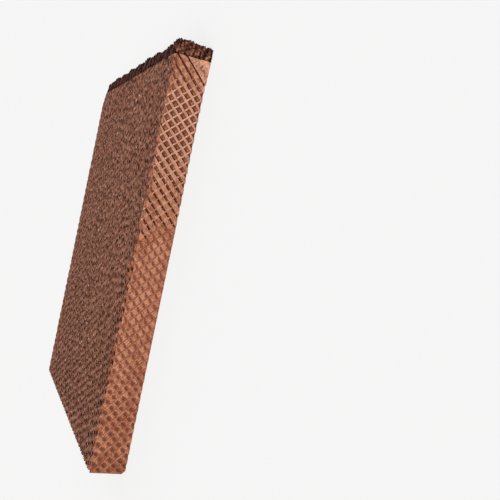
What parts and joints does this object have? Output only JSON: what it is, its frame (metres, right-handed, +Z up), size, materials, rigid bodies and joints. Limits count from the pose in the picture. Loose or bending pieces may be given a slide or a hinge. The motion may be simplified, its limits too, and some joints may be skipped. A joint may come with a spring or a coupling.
{
  "type": "evaporative cooling pad",
  "caption": "Flat evaporative cooling pad: a block of glued corrugated paper sheets with crossing flutes, a sawn outer sheet on one side and a dark strip along one end.",
  "frame": {"origin": "centre of the pad's box at the level of the floor that it lies on", "axes": "+X across the stack, towards the side with the sawn outer sheet; +Y along the sheets, towards the dark end strip; +Z up, along the air path, from the face on the floor to the upper large face"},
  "size_m": [0.7056, 0.8246, 0.07],
  "materials": {
    "pad_paper": "matte",
    "side_paper": "matte",
    "strip_paper": "matte"
  },
  "bodies": {
    "root": {"rising_sheets_far": "pad_paper", "rising_sheets_middle": "pad_paper", "rising_sheets_near": "pad_paper", "falling_sheets_far": "pad_paper", "falling_sheets_middle": "pad_paper", "falling_sheets_near": "pad_paper", "far_side_sheets": "side_paper", "near_side_sheets": "side_paper", "sawn_outer_sheet": "side_paper", "strip_even_sheets": "strip_paper", "strip_odd_sheets": "strip_paper"}
  },
  "joints": []
}
